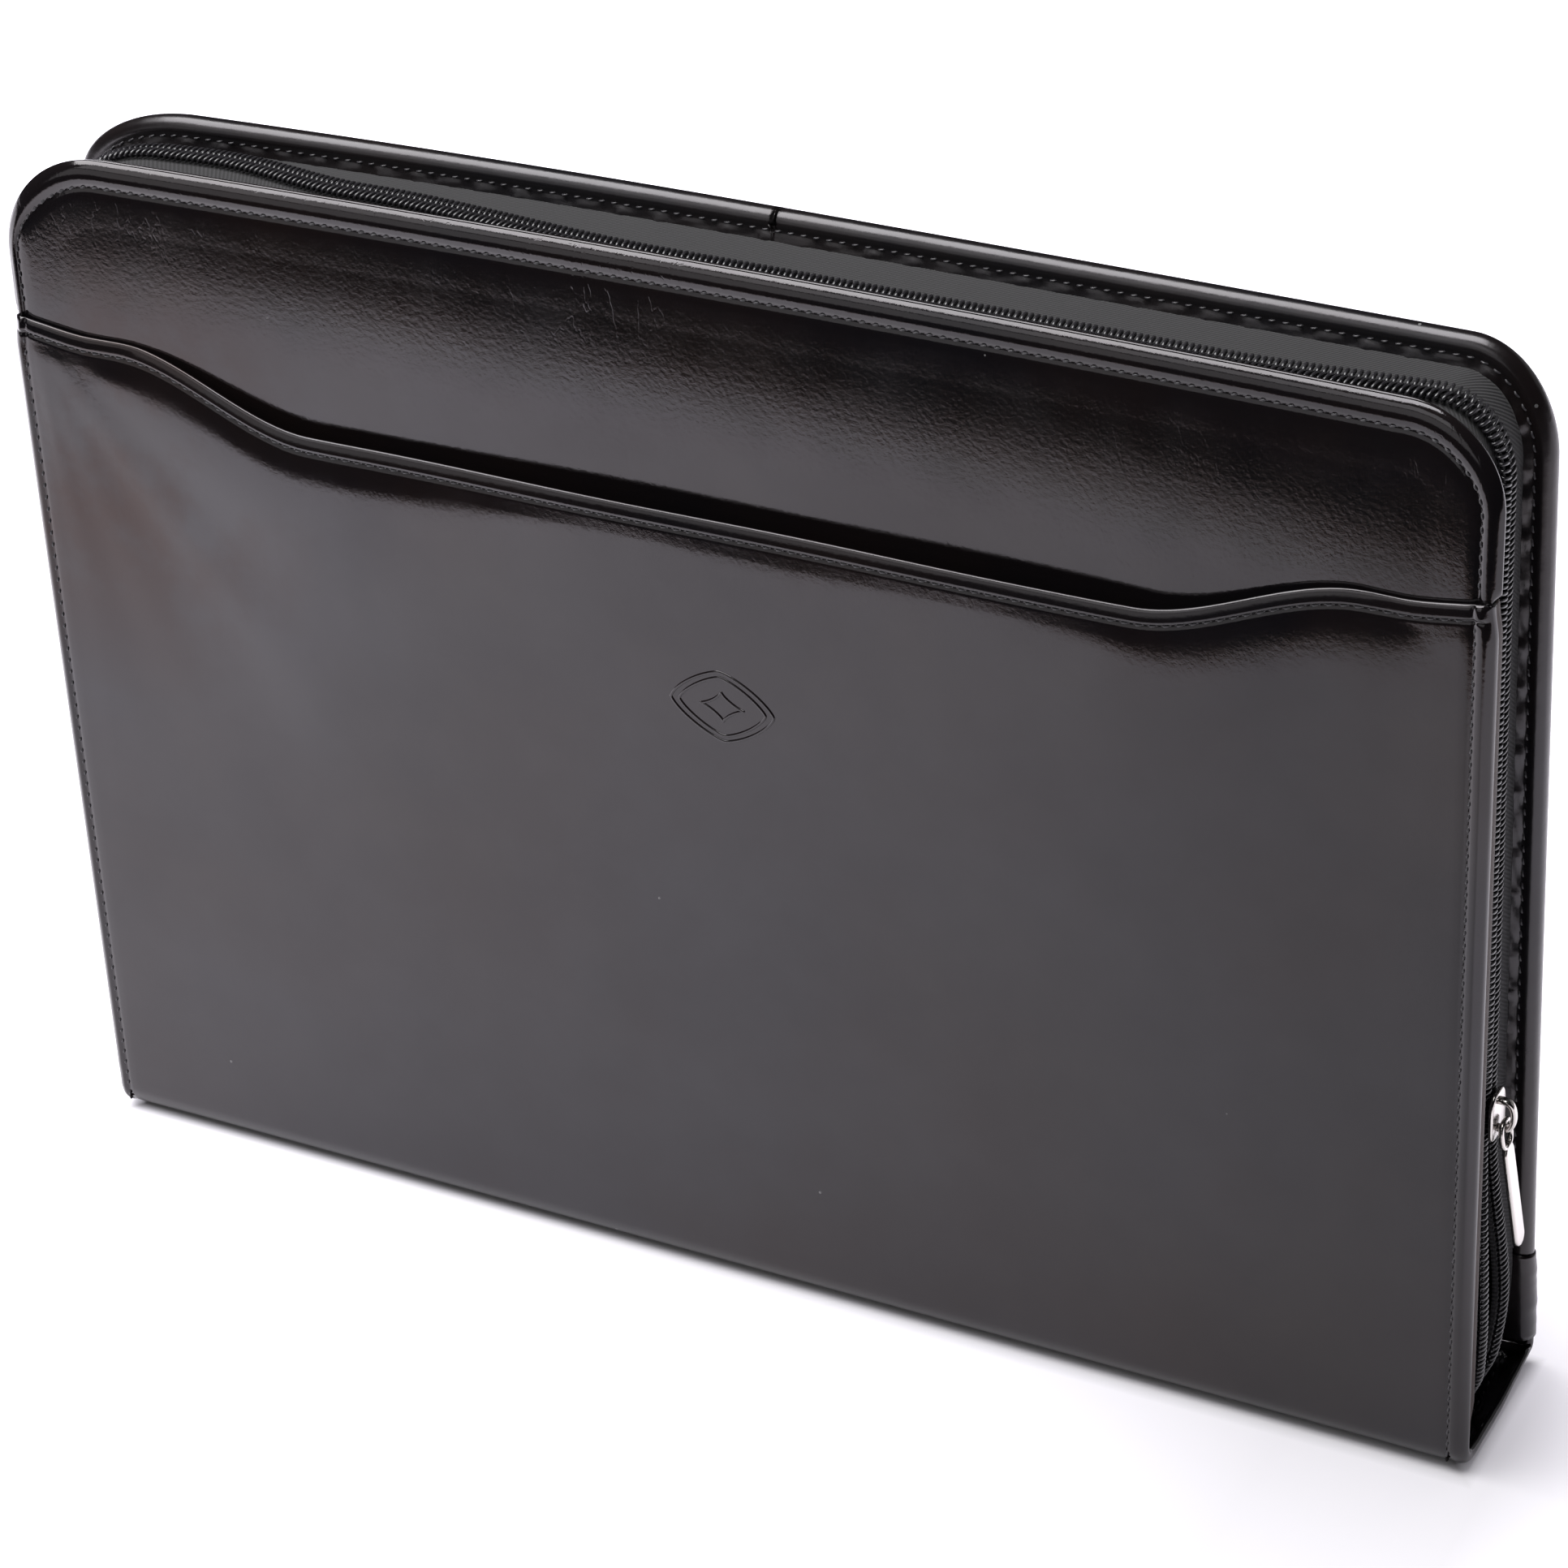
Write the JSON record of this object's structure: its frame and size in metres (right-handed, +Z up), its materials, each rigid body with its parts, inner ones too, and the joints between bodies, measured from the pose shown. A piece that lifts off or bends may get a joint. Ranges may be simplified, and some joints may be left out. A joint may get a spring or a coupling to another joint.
{
  "type": "leather document case",
  "caption": "Slim zipped leather document case with rounded top corners and a slip pocket with a curved mouth on its front, standing on its spine.",
  "frame": {"origin": "middle of the foot of the whole case with its pull, on the surface that it stands on", "axes": "+X to the right along the front, +Y from the front to the back, +Z up"},
  "size_m": [0.377, 0.0492, 0.27],
  "materials": {
    "leather": "polished smooth calf",
    "tape": "fine twill",
    "coil": "moulded nylon",
    "nickel": "polished nickel"
  },
  "bodies": {
    "case": {"front_panel": "leather", "front_facing": "leather", "pocket_panel": "leather", "back_panel": "leather", "back_binding": "leather", "spine": "leather", "front_tape": "tape", "back_tape": "tape", "front_coil": "coil", "back_coil": "coil", "zip_slider": "nickel"},
    "pull": {"zip_pull": "nickel"}
  },
  "joints": [
    {"name": "pull_swing", "type": "hinge", "parent": "case", "child": "pull", "pos_m": [0.18316, -0.00081, 0.0855], "axis": [0, -1, 0], "range_deg": [0, 130]}
  ]
}
